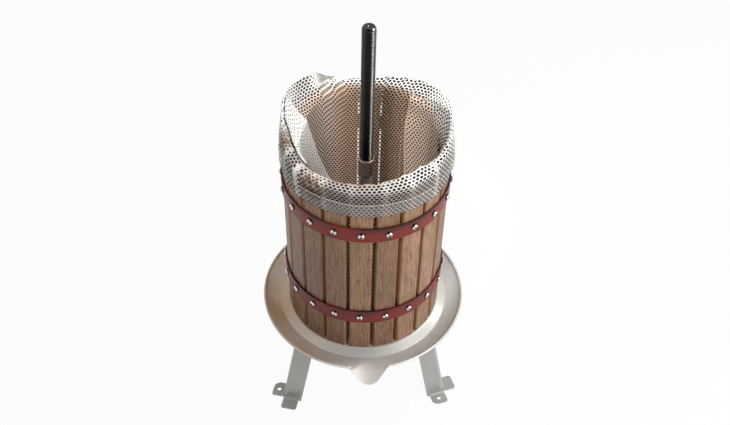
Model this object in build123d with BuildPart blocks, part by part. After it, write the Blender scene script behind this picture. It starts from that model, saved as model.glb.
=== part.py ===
# Basket fruit press: a staved basket with a net bag stands on a dished tray, around a fixed screw.
# Millimetres. +Z is up, the floor is Z = 0, the screw is the Z axis and the pouring lip points along -Y.
import os
from math import cos, hypot, radians, sin, sqrt, tan

from build123d import *

os.makedirs("parts", exist_ok=True)

# Basket: flat staves standing in a ring
stave_count = 20
stave_width = 29.0
stave_thickness = 12.0
stave_height = 304.5
stave_edge_radius = 2.0
stave_inner_edge_radius = 0.8
basket_flat_radius = 110.0
basket_turn = -6.0

# Hoops and their round-head screws
hoop_height = 23.0
hoop_thickness = 2.5
hoop_inset = 71.0
hoop_fit = 0.02
hoop_screw_head_radius = 5.0
hoop_screw_head_height = 3.6
hoop_screw_shank_radius = 2.2
hoop_screw_bite = 8.0
screw_hole_fit = 0.05

# Tray: a flat seat, a juice gutter, a flared wall and a rolled rim
tray_thickness = 1.5
seat_height = 174.0
seat_radius = 112.0
gutter_radius = 124.0
gutter_depth = 6.5
rim_radius = 149.5
rim_rise = 2.0
rim_bead_radius = 2.0
wall_sag = 0.3
fold_radius = 4.0

# Pouring lip: a round trough that falls a little and reaches past the rim, pointed in plan with a rounded tip
lip_reach = 20.5
lip_trough_radius = 44.0
lip_rise = 1.2
lip_fall = 1.2
lip_half_angle = 41.0
lip_tip_radius = 16.5
lip_flare_radius = 9.0
lip_fold_radius = 8.0

# Legs: angle section, splayed, with a square top plate, a drilled foot ear and a plain one
leg_names = ["left_leg", "right_leg", "back_leg"]
leg_width = 30.0
leg_thickness = 2.5
leg_bend_radius = 6.0
leg_top_radius = 112.0
leg_foot_radius = 149.0
leg_plate_side = 46.0
leg_plate_thickness = 4.0
ear_width = 24.0
ear_length = 18.0
ear_near_radius = 3.0
drilled_ear_far_radius = 10.0
plain_ear_far_radius = 4.0
ear_offset = 14.0
ear_bend_radius = 3.0
ear_hole_radius = 3.3
ear_hole_inset = 9.0

# Leg bolts, washers and nuts
leg_bolt_radius = 3.0
leg_bolt_head_radius = 6.5
leg_bolt_head_height = 3.2
leg_bolt_length = 17.0
leg_bolt_far = 34.0
leg_bolt_near = 16.0
leg_washer_radius = 6.0
leg_washer_thickness = 1.6
leg_nut_flats = 10.0
leg_nut_height = 5.0
bolt_clearance = 0.3

# Screw, its stop collar and its fixing under the tray
thread_radius = 9.0
shank_radius = 8.0
screw_rise = 164.5
screw_top_chamfer = 1.5
centre_mark_radius = 2.0
stop_collar_radius = 11.0
stop_collar_height = 27.0
stop_collar_depth = 39.5
stop_collar_edge = 2.0
shoulder_radius = 22.0
shoulder_height = 8.0
tail_length = 26.0
hub_plate_radius = 44.0
hub_washer_radius = 15.0
hub_washer_thickness = 3.0
hub_nut_flats = 24.0
hub_nut_height = 13.0
tail_clearance = 0.15

# Net bag: a tube in the basket, turned out over the staves, with a bottom panel and a doubled hem
cloth_thickness = 1.2
bag_clearance = 0.4
bag_lip_straight = 9.0
bag_hem_drop = 37.5
bag_hem_width = 22.5
bag_bottom_lift = 0.3
bag_eyelet_gap = 1.0

# Sizes that follow from the ones above
stave_inner_radius = basket_flat_radius - stave_thickness
stave_middle_radius = basket_flat_radius - stave_thickness / 2
stave_corner = hypot(stave_width / 2 - stave_edge_radius, basket_flat_radius - stave_edge_radius)
hoop_inner_radius = stave_corner + stave_edge_radius + hoop_fit
hoop_outer_radius = hoop_inner_radius + hoop_thickness
hoop_screw_reach = hoop_outer_radius - basket_flat_radius + hoop_screw_bite
hoop_screw_dome_radius = (hoop_screw_head_radius**2 / hoop_screw_head_height + hoop_screw_head_height) / 2
basket_top = seat_height + stave_height
lower_hoop_height = seat_height + hoop_inset
upper_hoop_height = basket_top - hoop_inset
rim_height = seat_height + rim_rise
gutter_height = seat_height - gutter_depth
tray_underside = seat_height - tray_thickness
plate_underside = tray_underside - leg_plate_thickness
screw_top = basket_top + screw_rise
stop_collar_top = basket_top - stop_collar_depth
stop_collar_bottom = stop_collar_top - stop_collar_height
leg_angles = [(2 * number - 1) * 180 / len(leg_names) for number in range(len(leg_names))]


def ring_angle(number):
    """Angle of a stave, counted from the pouring lip and positive to the right."""
    return basket_turn + number * 360 / stave_count


def upright(angle, radius, height):
    """Plane with Z up at a point of the ring; its X runs along the ring and its Y towards the axis."""
    turn = radians(angle)
    spot = (radius * sin(turn), -radius * cos(turn), height)
    return Plane(origin=spot, x_dir=(cos(turn), sin(turn), 0), z_dir=(0, 0, 1))


def facing_out(angle, radius, height):
    """Plane at a point of the ring that faces straight away from the axis."""
    turn = radians(angle)
    spot = (radius * sin(turn), -radius * cos(turn), height)
    return Plane(origin=spot, x_dir=(cos(turn), sin(turn), 0), z_dir=(sin(turn), -cos(turn), 0))


# Staves: eased outside edges, and a blind hole for the screw of each hoop
for number in range(stave_count):
    angle = ring_angle(number)
    with BuildPart() as stave:
        with BuildSketch(upright(angle, stave_middle_radius, seat_height)) as stave_section:
            Rectangle(stave_width, stave_thickness)
            fillet(stave_section.vertices().group_by(Axis.Y)[0], stave_edge_radius)
            fillet(stave_section.vertices().group_by(Axis.Y)[-1], stave_inner_edge_radius)
        extrude(amount=stave_height)
        for height in (lower_hoop_height, upper_hoop_height):
            with BuildSketch(facing_out(angle, basket_flat_radius, height)):
                Circle(hoop_screw_shank_radius + screw_hole_fit)
            extrude(amount=-hoop_screw_bite - screw_hole_fit, mode=Mode.SUBTRACT)
    stave.part.label = f"stave_{number + 1:02d}"
    export_step(stave.part, f"parts/stave_{number + 1:02d}.step")

# Hoops: a flat bar rolled to a ring, drilled once for each stave
for name, height in (("lower_hoop", lower_hoop_height), ("upper_hoop", upper_hoop_height)):
    with BuildPart() as hoop:
        with BuildSketch(Plane.XY.offset(height - hoop_height / 2)):
            Circle(hoop_outer_radius)
            Circle(hoop_inner_radius, mode=Mode.SUBTRACT)
        extrude(amount=hoop_height)
        for number in range(stave_count):
            with BuildSketch(facing_out(ring_angle(number), basket_flat_radius, height)):
                Circle(hoop_screw_shank_radius + screw_hole_fit)
            extrude(amount=2 * hoop_thickness, mode=Mode.SUBTRACT)
    hoop.part.label = name
    export_step(hoop.part, f"parts/{name}.step")

# Round-head screws: a domed head on the hoop and a shank that bites into the stave
for name, height in (("lower_hoop_screws", lower_hoop_height), ("upper_hoop_screws", upper_hoop_height)):
    with BuildPart() as hoop_screws:
        for number in range(stave_count):
            seat = facing_out(ring_angle(number), hoop_outer_radius, height)
            with BuildSketch(Plane(seat.origin, x_dir=(0, 0, 1), z_dir=seat.x_dir)):
                with BuildLine():
                    Polyline(
                        (0, hoop_screw_head_height),
                        (0, -hoop_screw_reach),
                        (hoop_screw_shank_radius, -hoop_screw_reach),
                        (hoop_screw_shank_radius, 0),
                        (hoop_screw_head_radius, 0),
                    )
                    RadiusArc(
                        (hoop_screw_head_radius, 0), (0, hoop_screw_head_height), -hoop_screw_dome_radius
                    )
                make_face()
            revolve(axis=Axis(seat.origin, seat.z_dir))
    hoop_screws.part.label = name
    export_step(hoop_screws.part, f"parts/{name}.step")

# Tray: the space above its upper face, dish and lip in one, and the same space lowered by the sheet
bead_centre = rim_radius - rim_bead_radius
wall_top = rim_height - rim_bead_radius
wall_middle = ((gutter_radius + bead_centre) / 2, gutter_height + (wall_top - gutter_height) * wall_sag)
space_top = rim_height + gutter_depth
lip_apex = rim_radius + lip_reach + lip_tip_radius * (1 / sin(radians(lip_half_angle)) - 1)
lip_spread = (lip_apex - seat_radius) * tan(radians(lip_half_angle))
trough_start = Vector(0, -gutter_radius, gutter_height + lip_rise + lip_trough_radius)
trough_line = Vector(0, gutter_radius - lip_apex, -lip_fall)


def lip_trough(skin):
    """Round bar of space that runs out of the gutter, cut off level above the rim, grown by a skin."""
    with BuildPart() as trough:
        with BuildSketch(Plane(trough_start, z_dir=trough_line)):
            Circle(lip_trough_radius + skin)
        extrude(amount=trough_line.length)
        with BuildSketch(Plane.XY.offset(space_top)):
            Rectangle(4 * lip_apex, 4 * lip_apex)
        extrude(amount=4 * lip_trough_radius, mode=Mode.SUBTRACT)
    return trough.part


def space_above(drop):
    """Space above the tray, lowered by a sheet; the fold between wall and lip is rounded."""
    with BuildPart() as space:
        with BuildSketch(Plane.XZ) as section:
            with BuildLine():
                Polyline(
                    (0, seat_height - drop),
                    (seat_radius, seat_height - drop),
                    (gutter_radius, gutter_height - drop),
                )
                wall = ThreePointArc(
                    (gutter_radius, gutter_height - drop),
                    (wall_middle[0], wall_middle[1] - drop),
                    (bead_centre, wall_top - drop),
                )
                slope = wall.tangent_at(1)
                wall_end = bead_centre + (space_top - wall_top + drop) * slope.X / slope.Y
                Polyline(
                    (bead_centre, wall_top - drop),
                    (wall_end, space_top),
                    (0, space_top),
                    (0, seat_height - drop),
                )
            make_face()
            fillet(section.vertices().filter_by(lambda v: abs(v.X - seat_radius) < 0.01), fold_radius)
            fillet(section.vertices().filter_by(lambda v: abs(v.X - gutter_radius) < 0.01), fold_radius)
        revolve(axis=Axis.Z)
        add(lip_trough(drop))
        fillet(space.edges().filter_by(GeomType.BSPLINE), lip_fold_radius - drop)
    return space.part


# Rolled bead of the rim, open at the lip
with BuildPart() as rim_bead:
    with BuildSketch(Plane.XZ):
        with Locations((bead_centre, wall_top)):
            Circle(rim_bead_radius)
    revolve(axis=Axis.Z)
    add(lip_trough(rim_bead_radius), mode=Mode.SUBTRACT)

# Pressed sheet: the plan of dish and lip, kept between the two spaces
with BuildPart() as tray:
    with BuildSketch() as tray_plan:
        Circle(bead_centre)
        with BuildLine():
            Polyline((-lip_spread, -seat_radius), (0, -lip_apex), (lip_spread, -seat_radius), close=True)
        make_face()
        fillet(tray_plan.vertices().sort_by(Axis.Y)[1:3], lip_flare_radius)
        fillet(tray_plan.vertices().sort_by(Axis.Y)[0], lip_tip_radius)
        Circle(shank_radius + tail_clearance, mode=Mode.SUBTRACT)
    extrude(amount=rim_height)
    add(space_above(tray_thickness), mode=Mode.INTERSECT)
    add(space_above(0), mode=Mode.SUBTRACT)
    add(rim_bead.part)


def leg_plane(angle, radius, height):
    """Plane with Z up at the leg's outer corner; its X and Y run along the leg's two faces."""
    turn = radians(angle)
    along = (cos(turn), sin(turn))
    inward = (-sin(turn), cos(turn))
    spot = (-radius * inward[0], -radius * inward[1], height)
    return Plane(origin=spot, x_dir=(along[0] + inward[0], along[1] + inward[1], 0), z_dir=(0, 0, 1))


leg_bolt_spots = [(leg_bolt_far, leg_bolt_near), (leg_bolt_near, leg_bolt_far)]
leg_lean = leg_foot_radius - leg_top_radius
face_lean = leg_lean / plate_underside / sqrt(2)
ear_start = ear_offset - ear_width / 2
bend_top = leg_thickness + ear_bend_radius
bend_middle = ear_bend_radius * (1 - 1 / sqrt(2))


def foot_ear(plane, far_radius):
    """Ear bent out of a leg face: its section in the plane, run along the width of the ear."""
    with BuildPart() as ear:
        with BuildSketch(plane):
            with BuildLine():
                ThreePointArc(
                    (ear_bend_radius, leg_thickness),
                    (bend_middle - face_lean * leg_thickness, leg_thickness + bend_middle),
                    (-face_lean * bend_top, bend_top),
                )
                Polyline(
                    (-face_lean * bend_top, bend_top),
                    (-leg_thickness, bend_top),
                    (-leg_thickness, 0),
                    (ear_length, 0),
                    (ear_length, leg_thickness),
                    (ear_bend_radius, leg_thickness),
                )
            make_face()
        extrude(amount=ear_width)
        ear_end = ear.edges().filter_by(Axis.Z).sort_by(Axis(plane.origin, plane.x_dir))[-2:]
        near_corner, far_corner = ear_end.sort_by_distance(foot.origin)
        fillet(near_corner, ear_near_radius)
        fillet(far_corner, far_radius)
    return ear.part


# One leg at the front: angle section run up the splay, then ears, hole and top plate
foot = leg_plane(0, leg_foot_radius, 0)
plain_ear_plane = Plane(
    foot.origin + foot.x_dir * (ear_start + ear_width), x_dir=foot.y_dir * -1, z_dir=foot.x_dir * -1
)
drilled_ear_plane = Plane(foot.origin + foot.y_dir * ear_start, x_dir=foot.x_dir * -1, z_dir=foot.y_dir)
plain_ear = foot_ear(plain_ear_plane, plain_ear_far_radius)
drilled_ear = foot_ear(drilled_ear_plane, drilled_ear_far_radius)

with BuildPart() as leg:
    with BuildSketch(foot) as leg_section:
        Rectangle(leg_width, leg_width, align=(Align.MIN, Align.MIN))
        fillet(leg_section.vertices().sort_by_distance((0, 0))[0], leg_bend_radius)
    extrude(amount=hypot(leg_lean, plate_underside), dir=(0, leg_lean, plate_underside))
    with BuildSketch(foot) as leg_hollow:
        with Locations((leg_thickness, leg_thickness)):
            Rectangle(leg_width, leg_width, align=(Align.MIN, Align.MIN))
        fillet(leg_hollow.vertices().sort_by_distance((0, 0))[0], leg_bend_radius - leg_thickness)
    extrude(
        amount=hypot(leg_lean, plate_underside), dir=(0, leg_lean, plate_underside), mode=Mode.SUBTRACT
    )
    add([plain_ear, drilled_ear])
    with BuildSketch(foot):
        with Locations((ear_hole_inset - ear_length, ear_offset)):
            Circle(ear_hole_radius)
    extrude(amount=leg_thickness, mode=Mode.SUBTRACT)
    with BuildSketch(leg_plane(0, leg_top_radius, plate_underside)) as plate:
        Rectangle(leg_plate_side, leg_plate_side, align=(Align.MIN, Align.MIN))
        fillet(plate.vertices().sort_by_distance((0, 0))[0], leg_bend_radius)
        chamfer(plate.vertices().sort_by_distance((0, 0))[-1], leg_bend_radius)
        with Locations(*leg_bolt_spots):
            Circle(leg_bolt_radius + bolt_clearance, mode=Mode.SUBTRACT)
    extrude(amount=leg_plate_thickness)

for name, angle in zip(leg_names, leg_angles):
    placed_leg = leg.part.rotate(Axis.Z, angle)
    placed_leg.label = name
    export_step(placed_leg, f"parts/{name}.step")

with BuildPart() as leg_bolts:
    for angle in leg_angles:
        with BuildSketch(leg_plane(angle, leg_top_radius, seat_height)):
            with Locations(*leg_bolt_spots):
                Circle(leg_bolt_head_radius)
        extrude(amount=leg_bolt_head_height)
    fillet(leg_bolts.edges().group_by(Axis.Z)[-1], leg_bolt_head_height * 0.75)
    for angle in leg_angles:
        with BuildSketch(leg_plane(angle, leg_top_radius, seat_height)):
            with Locations(*leg_bolt_spots):
                Circle(leg_bolt_radius)
        extrude(amount=-leg_bolt_length)
leg_bolts.part.label = "leg_bolts"
export_step(leg_bolts.part, "parts/leg_bolts.step")

with BuildPart() as leg_washers:
    for angle in leg_angles:
        with BuildSketch(leg_plane(angle, leg_top_radius, plate_underside)):
            with Locations(*leg_bolt_spots):
                Circle(leg_washer_radius)
                Circle(leg_bolt_radius, mode=Mode.SUBTRACT)
        extrude(amount=-leg_washer_thickness)
leg_washers.part.label = "leg_washers"
export_step(leg_washers.part, "parts/leg_washers.step")

with BuildPart() as leg_nuts:
    for angle in leg_angles:
        with BuildSketch(leg_plane(angle, leg_top_radius, plate_underside - leg_washer_thickness)):
            with Locations(*leg_bolt_spots):
                RegularPolygon(leg_nut_flats / 2, 6, major_radius=False)
                Circle(leg_bolt_radius, mode=Mode.SUBTRACT)
        extrude(amount=-leg_nut_height)
leg_nuts.part.label = "leg_nuts"
export_step(leg_nuts.part, "parts/leg_nuts.step")

# The leg bolts come up through the tray
with BuildPart() as drilled_tray:
    add(tray.part)
    for angle in leg_angles:
        with BuildSketch(leg_plane(angle, leg_top_radius, seat_height)):
            with Locations(*leg_bolt_spots):
                Circle(leg_bolt_radius + bolt_clearance)
        extrude(amount=-tray_thickness, mode=Mode.SUBTRACT)
drilled_tray.part.label = "tray"
export_step(drilled_tray.part, "parts/tray.step")

# Screw: thread, plain shank, a shoulder that bears on the tray and a tail that passes through it
with BuildPart() as press_screw:
    with BuildSketch(Plane.XZ):
        with BuildLine():
            Polyline(
                (0, tray_underside - tail_length),
                (shank_radius - screw_top_chamfer, tray_underside - tail_length),
                (shank_radius, tray_underside - tail_length + screw_top_chamfer),
                (shank_radius, seat_height),
                (shoulder_radius, seat_height),
                (shoulder_radius, seat_height + shoulder_height / 2),
                (shank_radius + shoulder_height / 2, seat_height + shoulder_height),
                (shank_radius, seat_height + shoulder_height),
                (shank_radius, stop_collar_top),
                (thread_radius, stop_collar_top),
                (thread_radius, screw_top - screw_top_chamfer),
                (thread_radius - screw_top_chamfer, screw_top),
                (centre_mark_radius, screw_top),
                (0, screw_top - centre_mark_radius),
                close=True,
            )
        make_face()
    revolve(axis=Axis.Z)
press_screw.part.label = "press_screw"
export_step(press_screw.part, "parts/press_screw.step")

with BuildPart() as stop_collar:
    with BuildSketch(Plane.XY.offset(stop_collar_bottom)):
        Circle(stop_collar_radius)
    extrude(amount=stop_collar_top - stop_collar_bottom)
    fillet(stop_collar.edges().filter_by(GeomType.CIRCLE), stop_collar_edge)
    with BuildSketch(Plane.XY.offset(stop_collar_bottom)):
        Circle(shank_radius)
    extrude(amount=stop_collar_top - stop_collar_bottom, mode=Mode.SUBTRACT)
stop_collar.part.label = "stop_collar"
export_step(stop_collar.part, "parts/stop_collar.step")

# Fixing under the tray: hub plate, washer and nut on the screw's tail
with BuildPart() as hub_plate:
    with BuildSketch(Plane.XY.offset(tray_underside)):
        Circle(hub_plate_radius)
        Circle(shank_radius + tail_clearance, mode=Mode.SUBTRACT)
    extrude(amount=-leg_plate_thickness)
hub_plate.part.label = "hub_plate"
export_step(hub_plate.part, "parts/hub_plate.step")

with BuildPart() as hub_washer:
    with BuildSketch(Plane.XY.offset(plate_underside)):
        Circle(hub_washer_radius)
        Circle(shank_radius, mode=Mode.SUBTRACT)
    extrude(amount=-hub_washer_thickness)
hub_washer.part.label = "hub_washer"
export_step(hub_washer.part, "parts/hub_washer.step")

with BuildPart() as hub_nut:
    with BuildSketch(Plane.XY.offset(plate_underside - hub_washer_thickness)):
        RegularPolygon(hub_nut_flats / 2, 6, major_radius=False)
        Circle(shank_radius, mode=Mode.SUBTRACT)
    extrude(amount=-hub_nut_height)
hub_nut.part.label = "hub_nut"
export_step(hub_nut.part, "parts/hub_nut.step")

# Net bag: the tube with its rolled lip and turned-out cuff, the bottom panel and the hem
bag_outer = stave_inner_radius - bag_clearance
bag_inner = bag_outer - cloth_thickness
cuff_inner = stave_corner + stave_edge_radius + bag_clearance
cuff_outer = cuff_inner + cloth_thickness
bag_floor = seat_height + leg_bolt_head_height + bag_bottom_lift
lip_height = basket_top + bag_lip_straight
lip_middle = (bag_outer + cuff_inner) / 2
cuff_bottom = basket_top - bag_hem_drop

with BuildPart() as bag_tube:
    with BuildSketch(Plane.XZ):
        with BuildLine():
            Polyline(
                (bag_outer, lip_height),
                (bag_outer, bag_floor),
                (bag_inner, bag_floor),
                (bag_inner, lip_height),
            )
            ThreePointArc(
                (bag_inner, lip_height),
                (lip_middle, lip_height + (cuff_outer - bag_inner) / 2),
                (cuff_outer, lip_height),
            )
            Polyline(
                (cuff_outer, lip_height),
                (cuff_outer, cuff_bottom),
                (cuff_inner, cuff_bottom),
                (cuff_inner, lip_height),
            )
            ThreePointArc(
                (cuff_inner, lip_height),
                (lip_middle, lip_height + (cuff_inner - bag_outer) / 2),
                (bag_outer, lip_height),
            )
        make_face()
    revolve(axis=Axis.Z)
bag_tube.part.label = "bag_tube"
export_step(bag_tube.part, "parts/bag_tube.step")

with BuildPart() as bag_bottom:
    with BuildSketch(Plane.XY.offset(bag_floor)):
        Circle(bag_inner)
        Circle(shoulder_radius + bag_eyelet_gap, mode=Mode.SUBTRACT)
    extrude(amount=cloth_thickness)
bag_bottom.part.label = "bag_bottom"
export_step(bag_bottom.part, "parts/bag_bottom.step")

with BuildPart() as bag_hem:
    with BuildSketch(Plane.XY.offset(cuff_bottom)):
        Circle(cuff_outer + cloth_thickness)
        Circle(cuff_outer, mode=Mode.SUBTRACT)
    extrude(amount=bag_hem_width)
bag_hem.part.label = "bag_hem"
export_step(bag_hem.part, "parts/bag_hem.step")
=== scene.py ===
# %% [markdown]
# # Fruit press
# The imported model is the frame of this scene: every stave, hoop, leg and bolt is already in its
# place, in metres. Here those solids get their finishes, the screw gets its thread, and the stiff
# stand-in for the bag gives way to a real net.

from math import cos, floor, pi, radians, sin

import bmesh
import bpy
import numpy as np
from mathutils import Matrix, Vector, noise
from mathutils.geometry import delaunay_2d_cdt


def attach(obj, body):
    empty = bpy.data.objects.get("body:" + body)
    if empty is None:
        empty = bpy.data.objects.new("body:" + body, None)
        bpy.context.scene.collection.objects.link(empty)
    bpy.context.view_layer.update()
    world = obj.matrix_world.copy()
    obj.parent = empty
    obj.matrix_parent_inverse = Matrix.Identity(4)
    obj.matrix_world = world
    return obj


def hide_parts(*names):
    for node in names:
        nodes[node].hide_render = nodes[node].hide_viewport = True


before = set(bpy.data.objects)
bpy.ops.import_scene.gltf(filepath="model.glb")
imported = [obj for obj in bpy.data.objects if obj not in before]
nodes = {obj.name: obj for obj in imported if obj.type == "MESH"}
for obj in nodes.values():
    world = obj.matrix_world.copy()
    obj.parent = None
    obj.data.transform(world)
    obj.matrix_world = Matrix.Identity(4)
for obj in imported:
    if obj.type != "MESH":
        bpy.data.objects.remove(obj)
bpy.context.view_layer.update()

# %% [markdown]
# A colour is written as the eye sees it on a screen and turned to linear light for the shader. Each
# finish is a small tree of nodes. It could be put together by hand in the shader editor, but a script
# can be read line by line and run again. One small function adds a node, sets it and links it, so that
# each finish below reads as a list of what it is made of. Patterns run on the object's own
# coordinates, which are metres in the frame, so a scale is a count of cells per metre.


# %% Colour and node helpers
def linear(code):
    """Linear colour of a screen colour such as #a08060."""
    parts = [int(code[i : i + 2], 16) / 255 for i in (1, 3, 5)]
    return [p / 12.92 if p <= 0.04045 else ((p + 0.055) / 1.055) ** 2.4 for p in parts] + [1.0]


def feed(tree, node, inputs):
    """Fills inputs of a node, by name or number.

    Each gets a plain value, a screen colour, an output, or a node for its first output. Only sockets
    in use count, because a Mix node has several pairs called A and B.
    """
    for name, value in inputs.items():
        used = [socket for socket in node.inputs if socket.enabled]
        target = used[name] if isinstance(name, int) else next(s for s in used if s.name == name)
        if isinstance(value, str) and value.startswith("#"):
            value = linear(value)
        if isinstance(value, bpy.types.Node):
            value = next(socket for socket in value.outputs if socket.enabled)
        if isinstance(value, bpy.types.NodeSocket):
            tree.links.new(value, target)
        else:
            target.default_value = value


def add(tree, kind, inputs=None, **settings):
    """One node with its settings and links."""
    made = tree.nodes.new(kind)
    for name, value in settings.items():
        setattr(made, name, value)
    feed(tree, made, inputs or {})
    return made


def material(name, **sockets):
    """A new material with its shader's own sockets set; returns it, its tree and its shader."""
    made = bpy.data.materials.new(name)
    made.use_nodes = True
    shader = made.node_tree.nodes["Principled BSDF"]
    feed(made.node_tree, shader, {socket.replace("_", " "): value for socket, value in sockets.items()})
    return made, made.node_tree, shader


print("white is", linear("#ffffff"))

# %% [markdown]
# The staves are oiled beech: pinkish brown, with long soft grain, short dark flecks a few
# millimetres long and a tone that differs from board to board. A picture of wood could be wrapped round
# the boards, but it would show its repeat, so the figure is mixed from noise that is drawn out along
# the board. The board's number comes from the angle round the axis, so every stave draws its own tone
# and its own piece of grain. The side faces, which face along the ring and not out of it, are painted
# paler than the outer faces: painted light that lifts the shade in the narrow gaps between the staves.

# %% Patterns on the boards
STAVES = 20
FIRST_STAVE = radians(96)


def stretched(tree, kind, place, cells, inputs):
    """A pattern with its own count of cells per metre along each axis."""
    mapped = add(tree, "ShaderNodeMapping", {"Vector": place, "Scale": cells})
    return add(tree, kind, {"Vector": mapped, "Scale": 1, **inputs}).outputs["Fac"]


beech, tree, shader = material("oiled beech", Roughness=0.46, IOR=1.5)
place = add(tree, "ShaderNodeTexCoord").outputs["Object"]
axes = add(tree, "ShaderNodeSeparateXYZ", {"Vector": place}).outputs
angle = add(tree, "ShaderNodeMath", {0: axes["Y"], 1: axes["X"]}, operation="ARCTAN2")
per_turn = STAVES / (2 * pi)
counted = {0: angle, 1: per_turn, 2: FIRST_STAVE * per_turn}
share = add(tree, "ShaderNodeMath", counted, operation="MULTIPLY_ADD")
number = add(tree, "ShaderNodeMath", {0: share}, operation="ROUND")
chance = add(tree, "ShaderNodeTexWhiteNoise", {"W": number}, noise_dimensions="1D").outputs
own = add(tree, "ShaderNodeVectorMath", {0: place, 1: chance["Color"]}, operation="ADD")
# Grain and flames lie 4 mm apart, clouds 7 mm and warm patches 17 mm; flecks are under 1 mm wide
grain_look = {"Detail": 5, "Roughness": 0.62, "Distortion": 0.8}
grain = stretched(tree, "ShaderNodeTexNoise", own, (240, 240, 8), grain_look)
cloud = stretched(tree, "ShaderNodeTexNoise", own, (150, 150, 34), {"Detail": 5, "Distortion": 1.6})
flame_look = {"Scale": 1.6, "Distortion": 10, "Detail": 3, "Detail Scale": 1.0}
flame = stretched(tree, "ShaderNodeTexWave", own, (45, 45, 12), flame_look)
patch = stretched(tree, "ShaderNodeTexNoise", own, (60, 60, 16), {"Detail": 2})
fleck = stretched(tree, "ShaderNodeTexNoise", own, (1200, 1200, 210), {"Detail": 1})
mottle = add(tree, "ShaderNodeMix", {"Factor": 0.84, "A": flame, "B": cloud})
figure = add(tree, "ShaderNodeMix", {"Factor": 0.35, "A": mottle, "B": grain})
print("patterns on the boards take", len(tree.nodes), "nodes")

# %% Beech
# A Mix node blends numbers unless it is told that they are colours
COLOUR = "RGBA"


def from_axis(tree, place):
    """The level direction that points straight out from the axis of the press."""
    level = add(tree, "ShaderNodeVectorMath", {0: place, 1: (1, 1, 0)}, operation="MULTIPLY")
    return add(tree, "ShaderNodeVectorMath", {0: level}, operation="NORMALIZE")


def facing(tree, direction):
    """How far the surface faces a direction, from -1 to 1."""
    normal = add(tree, "ShaderNodeNewGeometry").outputs["Normal"]
    return add(tree, "ShaderNodeVectorMath", {0: normal, 1: direction}, operation="DOT_PRODUCT")


def coat(names, finish):
    """Gives nodes of the frame a finish in place of the one they came with."""
    for name in names:
        nodes[name].data.materials.clear()
        nodes[name].data.materials.append(finish)


warmth = add(tree, "ShaderNodeMapRange", {"Value": patch, "From Min": 0.42, "From Max": 0.6})
pale = add(tree, "ShaderNodeMix", {"Factor": warmth, "A": "#bb9380", "B": "#b29772"}, data_type=COLOUR)
drawn = add(tree, "ShaderNodeMapRange", {"Value": figure, "From Min": 0.3, "From Max": 0.7})
wood = add(tree, "ShaderNodeMix", {"Factor": drawn, "A": "#6b4a32", "B": pale}, data_type=COLOUR)
tones = {"Factor": chance["Value"], "A": "#d2c6bd", "B": "#fffaf4"}
tone = add(tree, "ShaderNodeMix", tones, data_type=COLOUR)
product = {"Factor": 1.0, "A": wood, "B": tone}
toned = add(tree, "ShaderNodeMix", product, data_type=COLOUR, blend_type="MULTIPLY")
spotted = add(tree, "ShaderNodeMapRange", {"Value": fleck, "From Min": 0.6, "From Max": 0.82})
flecked = add(tree, "ShaderNodeMix", {"Factor": spotted, "A": toned, "B": "#6b4a35"}, data_type=COLOUR)
# The side faces of the boards are painted paler: painted light that lifts the shade in the gaps
out_and_up = {0: from_axis(tree, place), 1: (0, 0, 1)}
along = add(tree, "ShaderNodeVectorMath", out_and_up, operation="CROSS_PRODUCT")
either = add(tree, "ShaderNodeMath", {0: facing(tree, along)}, operation="ABSOLUTE")
side_faces = add(tree, "ShaderNodeMapRange", {"Value": either, "From Min": 0.75, "From Max": 0.95})
painted_side_light = add(tree, "ShaderNodeMix", {"Factor": grain, "A": "#92694a", "B": "#b58a64"}, data_type=COLOUR)
board = add(tree, "ShaderNodeMix", {"Factor": side_faces, "A": flecked, "B": painted_side_light}, data_type=COLOUR)
pores = add(tree, "ShaderNodeBump", {"Height": grain, "Strength": 0.12, "Distance": 0.0006})
feed(tree, shader, {"Base Color": board, "Normal": pores})
staves = [nodes[f"stave_{k:02d}"] for k in range(1, STAVES + 1)]
coat([stave.name for stave in staves], beech)
print("staves in beech", len(staves))

# %% [markdown]
# The hoops are flat bar in a brick-red paint that is half glossy. Brushed on, it is a little
# uneven, which shows as small changes of tone and of gloss. The upper edge of each bar is painted
# darker in patches: painted shade. The edge could be painted on the mesh by hand, but the height alone
# tells where it is. Both hoops share the pattern: the height is counted from the nearer one.

# %% Red paint
LOWER_HOOP, HOOP_STEP = 0.245, 0.1625
TOP_SHADE_FROM, TOP_SHADE_FULL = 0.001, 0.0105
red, tree, shader = material("red paint", IOR=1.5, Specular_IOR_Level=0.25)
place = add(tree, "ShaderNodeTexCoord").outputs["Object"]
# Brush marks lie 17 mm apart, patches of the painted shade 60 mm
brush = add(tree, "ShaderNodeTexNoise", {"Vector": place, "Scale": 60, "Detail": 4})
slow = add(tree, "ShaderNodeTexNoise", {"Vector": place, "Scale": 16, "Detail": 2})
brushed = add(tree, "ShaderNodeMix", {"Factor": brush, "A": "#641c15", "B": "#84291f"}, data_type=COLOUR)
height = add(tree, "ShaderNodeSeparateXYZ", {"Vector": place}).outputs["Z"]
# Darker along the upper edge of each bar: painted shade
from_lower = add(tree, "ShaderNodeMath", {0: height, 1: LOWER_HOOP}, operation="SUBTRACT")
on_bar = add(tree, "ShaderNodeMath", {0: from_lower, 1: -HOOP_STEP / 2, 2: HOOP_STEP / 2}, operation="WRAP")
upper = add(tree, "ShaderNodeMapRange", {"Value": on_bar, "From Min": TOP_SHADE_FROM, "From Max": TOP_SHADE_FULL})
patchy = add(tree, "ShaderNodeMapRange", {"Value": slow, "From Min": 0.3, "From Max": 0.6})
top_shade = add(tree, "ShaderNodeMath", {0: upper, 1: patchy}, operation="MULTIPLY")
paint = add(tree, "ShaderNodeMix", {"Factor": top_shade, "A": brushed, "B": "#3d1c1e"}, data_type=COLOUR)
sheen = add(tree, "ShaderNodeMapRange", {"Value": brush, "To Min": 0.28, "To Max": 0.42})
feed(tree, shader, {"Base Color": paint, "Roughness": sheen})
coat(("lower_hoop", "upper_hoop"), red)
print("hoops painted")
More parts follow.
